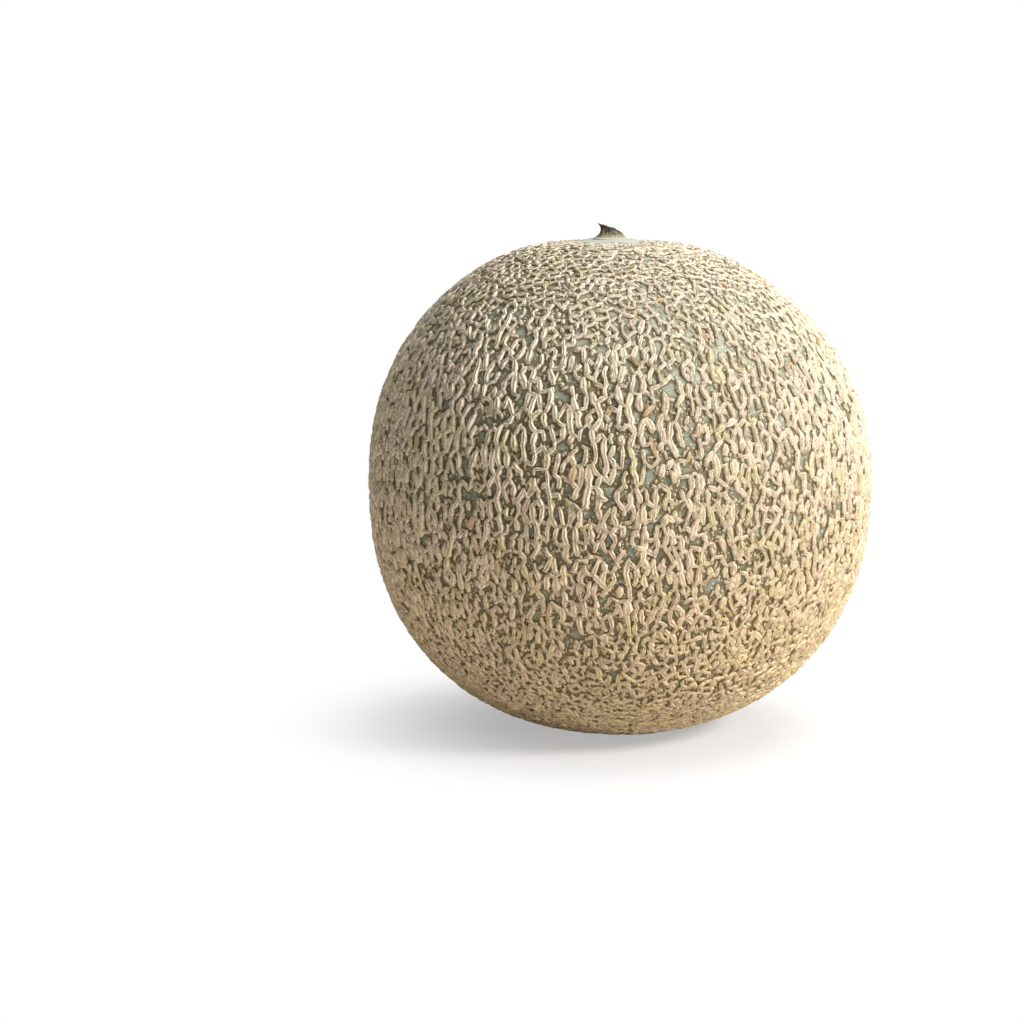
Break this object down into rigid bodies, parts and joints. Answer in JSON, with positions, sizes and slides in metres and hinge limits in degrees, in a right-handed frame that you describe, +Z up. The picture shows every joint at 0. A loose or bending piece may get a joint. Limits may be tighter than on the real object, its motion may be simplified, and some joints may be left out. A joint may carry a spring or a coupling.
{
  "type": "cantaloupe melon",
  "caption": "Whole round melon with a raised cork net over its rind, a dried stem stub on a bare collar, and a small flat spot to rest on.",
  "frame": {"origin": "on the resting face, below the middle of the fruit", "axes": "+Z up through the fruit to the stem, +X to the right and -Y towards the viewer of the picture"},
  "size_m": [0.1494, 0.1496, 0.1512],
  "materials": {
    "netted_rind": "matte",
    "dried_stem": "matte"
  },
  "bodies": {
    "root": {"fruit": "netted_rind", "stem_stub": "dried_stem"}
  },
  "joints": []
}
